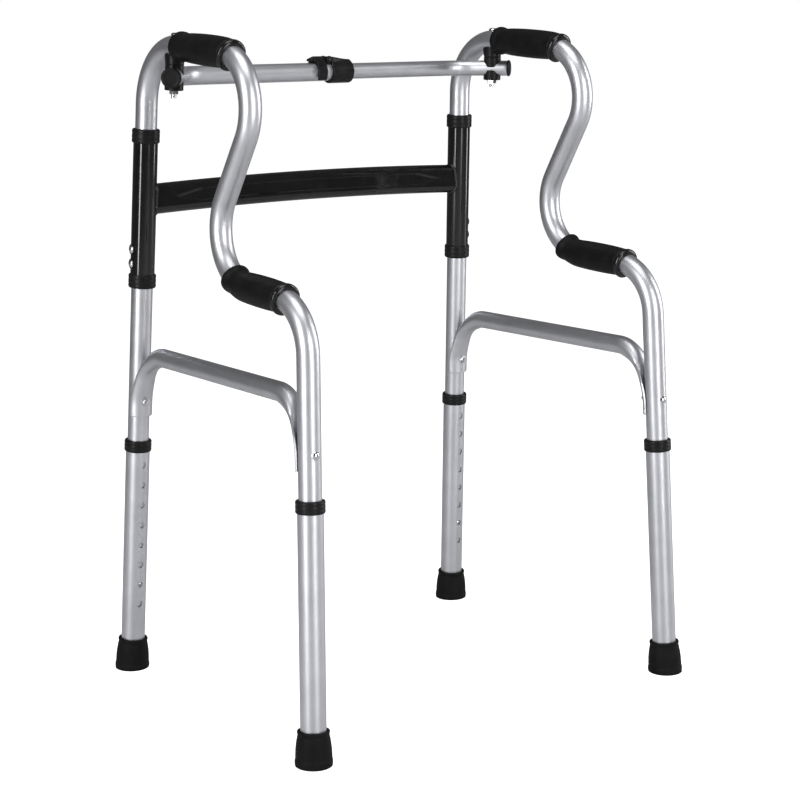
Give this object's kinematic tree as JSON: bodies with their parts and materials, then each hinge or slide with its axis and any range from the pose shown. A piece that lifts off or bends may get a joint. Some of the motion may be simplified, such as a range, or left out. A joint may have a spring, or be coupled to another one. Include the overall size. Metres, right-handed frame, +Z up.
{
  "type": "walking frame",
  "caption": "Folding two-tier walking frame: bent tube sides with upper and lower hand grips, a swivelling front brace, a telescopic locking bar and height-adjustable legs on rubber feet.",
  "frame": {"origin": "on the floor, at the bottom centre of the bounding box between the four feet", "axes": "+Z up, +Y forward (away from the user, the brace side), +X to the user's right"},
  "size_m": [0.5622, 0.4516, 0.7728],
  "materials": {
    "frame_tube": "satin anodised tube, lightly brushed round the tube",
    "lower_leg": "satin anodised tube",
    "rail": "satin anodised tube",
    "bar": "satin anodised tube",
    "brace": "satin black powder coat",
    "collar": "dark moulded plastic, faint sheen",
    "saddle": "dark moulded plastic, faint sheen",
    "lock": "black moulded plastic, semi-gloss",
    "grip": "black vinyl grip with a fine grain",
    "foot": "dark grey rubber, matt",
    "fastener": "plated steel",
    "spring": "spring steel"
  },
  "bodies": {
    "brace": {"cross_brace": "brace", "upper_collar_left": "collar", "upper_collar_right": "collar", "lower_collar_left": "collar", "lower_collar_right": "collar", "stop_rivets": "fastener", "stop_washers": "collar"},
    "left_frame": {"side_tube_left": "frame_tube", "top_grip_left": "grip", "lower_grip_left": "grip", "side_rail_left": "rail", "rail_bolts_left": "fastener", "rail_nuts_left": "fastener", "tube_saddle_left": "saddle", "pivot_bolt_left": "fastener", "pivot_nut_left": "fastener", "spring_front_left": "spring", "spring_rear_left": "spring"},
    "front_left_leg": {"leg_front_left": "lower_leg", "leg_collar_front_left": "collar", "foot_front_left": "foot"},
    "front_left_button": {"button_front_left": "fastener"},
    "rear_left_leg": {"leg_rear_left": "lower_leg", "leg_collar_rear_left": "collar", "foot_rear_left": "foot"},
    "rear_left_button": {"button_rear_left": "fastener"},
    "right_frame": {"side_tube_right": "frame_tube", "top_grip_right": "grip", "lower_grip_right": "grip", "side_rail_right": "rail", "rail_bolts_right": "fastener", "rail_nuts_right": "fastener", "tube_saddle_right": "saddle", "pivot_bolt_right": "fastener", "pivot_nut_right": "fastener", "spring_front_right": "spring", "spring_rear_right": "spring"},
    "front_right_leg": {"leg_front_right": "lower_leg", "leg_collar_front_right": "collar", "foot_front_right": "foot"},
    "front_right_button": {"button_front_right": "fastener"},
    "rear_right_leg": {"leg_rear_right": "lower_leg", "leg_collar_rear_right": "collar", "foot_rear_right": "foot"},
    "rear_right_button": {"button_rear_right": "fastener"},
    "outer_bar": {"bar_outer_tube": "bar", "bar_outer_plug": "saddle", "bar_cradle_left": "saddle", "bar_keeper_left": "saddle", "lock_body": "lock", "lock_hinge_pin": "fastener"},
    "inner_bar": {"bar_inner_tube": "bar", "bar_inner_plug": "saddle", "bar_cradle_right": "saddle", "bar_keeper_right": "saddle"},
    "lock_catch": {"lock_lever": "lock", "lock_peg": "fastener"}
  },
  "joints": [
    {"name": "left_fold", "type": "hinge", "parent": "brace", "child": "left_frame", "pos_m": [-0.23499, 0.17245, 0.56686], "axis": [0.0264, -0.0574, 0.998], "range_deg": [0, 34]},
    {"name": "right_fold", "type": "hinge", "parent": "brace", "child": "right_frame", "pos_m": [0.23499, 0.17245, 0.56686], "axis": [-0.0264, -0.0574, 0.998], "range_deg": [-34, 0]},
    {"name": "outer_bar_pivot", "type": "hinge", "parent": "left_frame", "child": "outer_bar", "pos_m": [-0.2325, 0.10051, 0.72098], "axis": [0.0264, -0.0574, 0.998], "range_deg": [-34, 0]},
    {"name": "inner_bar_pivot", "type": "hinge", "parent": "right_frame", "child": "inner_bar", "pos_m": [0.2325, 0.10051, 0.72098], "axis": [-0.0264, -0.0574, 0.998], "range_deg": [0, 34]},
    {"name": "lock_catch_lift", "type": "hinge", "parent": "outer_bar", "child": "lock_catch", "pos_m": [0.002, 0.13651, 0.73598], "axis": [0, 1, 0], "range_deg": [0, 25], "stiffness_Nm_per_rad": 0.05},
    {"name": "front_left_height", "type": "slide", "parent": "left_frame", "child": "front_left_leg", "axis": [-0.0264, 0.0574, -0.998], "range_m": [-0.025, 0.15]},
    {"name": "rear_left_height", "type": "slide", "parent": "left_frame", "child": "rear_left_leg", "axis": [-0.0291, -0.0469, -0.9985], "range_m": [-0.025, 0.15]},
    {"name": "front_left_press", "type": "slide", "parent": "left_frame", "child": "front_left_button", "axis": [0.0268, 0.998, 0.0567], "range_m": [0, 0.0034], "stiffness_N_per_m": 1200},
    {"name": "rear_left_press", "type": "slide", "parent": "left_frame", "child": "rear_left_button", "axis": [-0.0239, -0.9986, 0.0476], "range_m": [0, 0.0034], "stiffness_N_per_m": 1200},
    {"name": "front_right_height", "type": "slide", "parent": "right_frame", "child": "front_right_leg", "axis": [0.0264, 0.0574, -0.998], "range_m": [-0.025, 0.15]},
    {"name": "rear_right_height", "type": "slide", "parent": "right_frame", "child": "rear_right_leg", "axis": [0.0291, -0.0469, -0.9985], "range_m": [-0.025, 0.15]},
    {"name": "front_right_press", "type": "slide", "parent": "right_frame", "child": "front_right_button", "axis": [-0.0268, 0.998, 0.0567], "range_m": [0, 0.0034], "stiffness_N_per_m": 1200},
    {"name": "rear_right_press", "type": "slide", "parent": "right_frame", "child": "rear_right_button", "axis": [0.0239, -0.9986, 0.0476], "range_m": [0, 0.0034], "stiffness_N_per_m": 1200}
  ],
  "couplings": [
    {"joint": "right_fold", "follows": "left_fold", "ratio": -1},
    {"joint": "outer_bar_pivot", "follows": "left_fold", "ratio": -1},
    {"joint": "inner_bar_pivot", "follows": "left_fold", "ratio": 1}
  ]
}
